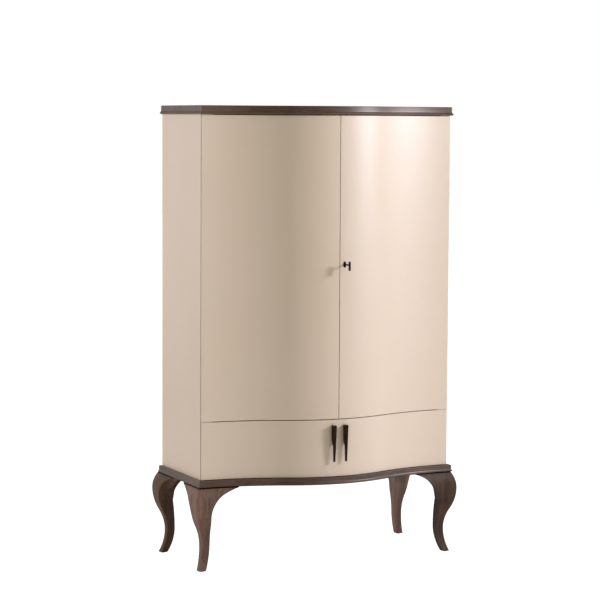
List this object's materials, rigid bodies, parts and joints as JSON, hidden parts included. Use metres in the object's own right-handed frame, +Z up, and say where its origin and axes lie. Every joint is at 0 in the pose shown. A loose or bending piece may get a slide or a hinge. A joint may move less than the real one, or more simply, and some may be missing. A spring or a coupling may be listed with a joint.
{
  "type": "serpentine cabinet on cabriole legs",
  "caption": "Tall serpentine-front cabinet with curved doors over a full-width drawer, moulded top and base, and cabriole legs.",
  "frame": {"origin": "on the floor, under the centre of the whole piece (knees and key included)", "axes": "+X to the right as seen from the front, +Y to the back, +Z up; the doors face -Y"},
  "size_m": [1.125, 0.6086, 1.786],
  "materials": {
    "cream_lacquer": "satin lacquer on board, cream",
    "inner_lacquer": "matt cream lacquer",
    "walnut": "dark walnut stain under satin varnish",
    "drawer_wood": "pale hardwood, matt",
    "dark_bronze": "dark bronze patina",
    "steel": "plain zinc-plated steel",
    "dark_plastic": "dark moulded plastic"
  },
  "bodies": {
    "carcass": {"top_board": "walnut", "side_panel_left": "cream_lacquer", "side_panel_right": "cream_lacquer", "back_panel": "inner_lacquer", "divider_panel": "inner_lacquer", "bottom_panel": "inner_lacquer", "shelf_lower": "inner_lacquer", "shelf_upper": "inner_lacquer", "shelf_pins": "steel", "carcass_dowels": "drawer_wood", "back_screws": "steel", "base_rail_front": "walnut", "base_rail_left": "walnut", "base_rail_right": "walnut", "base_rail_back": "walnut", "leg_front_left": "walnut", "leg_front_right": "walnut", "leg_back_left": "walnut", "leg_back_right": "walnut", "leg_bolts": "steel", "leg_nuts": "steel", "floor_glides": "dark_plastic", "hinge_leaf_low_left": "steel", "hinge_leaf_low_right": "steel", "hinge_leaf_high_left": "steel", "hinge_leaf_high_right": "steel", "hinge_leaf_screws": "steel", "door_catches": "dark_plastic", "runner_fixed_left": "steel", "runner_fixed_right": "steel", "runner_screws": "steel"},
    "left_door": {"door_left": "cream_lacquer", "hinge_socket_low_left": "steel", "hinge_socket_high_left": "steel", "door_screws_left": "steel", "catch_plate_left": "steel", "lock_strike": "steel"},
    "right_door": {"door_right": "cream_lacquer", "hinge_socket_low_right": "steel", "hinge_socket_high_right": "steel", "door_screws_right": "steel", "catch_plate_right": "steel", "lock_case": "steel", "lock_cover": "steel", "escutcheon": "dark_bronze"},
    "drawer": {"drawer_front": "cream_lacquer", "drawer_side_left": "drawer_wood", "drawer_side_right": "drawer_wood", "drawer_bottom": "drawer_wood", "drawer_back": "drawer_wood", "drawer_dowels": "drawer_wood", "handle_left": "dark_bronze", "handle_right": "dark_bronze", "handle_screws": "steel", "runner_moving_left": "steel", "runner_moving_right": "steel"},
    "lock_plug": {"lock_plug": "dark_bronze"},
    "lock_bolt": {"lock_bolt": "steel"},
    "key": {"key": "dark_bronze"}
  },
  "joints": [
    {"name": "left_door_hinge", "type": "hinge", "parent": "carcass", "child": "left_door", "pos_m": [-0.527, -0.14325, 1.164], "axis": [0, 0, -1], "range_deg": [0, 100]},
    {"name": "right_door_hinge", "type": "hinge", "parent": "carcass", "child": "right_door", "pos_m": [0.527, -0.14325, 1.164], "axis": [0, 0, 1], "range_deg": [0, 100]},
    {"name": "drawer_slide", "type": "slide", "parent": "carcass", "child": "drawer", "axis": [0, -1, 0], "range_m": [0, 0.3]},
    {"name": "key_turn", "type": "hinge", "parent": "right_door", "child": "lock_plug", "pos_m": [0.021, -0.25425, 1.177], "axis": [0, -1, 0], "range_deg": [0, 90]},
    {"name": "bolt_slide", "type": "slide", "parent": "right_door", "child": "lock_bolt", "axis": [-1, 0, 0], "range_m": [0, 0.01]},
    {"name": "key_pull", "type": "slide", "parent": "lock_plug", "child": "key", "axis": [0, -1, 0], "range_m": [0, 0.022]}
  ],
  "couplings": [
    {"joint": "key_turn", "follows": "bolt_slide", "rad_per_m": 157.08}
  ]
}
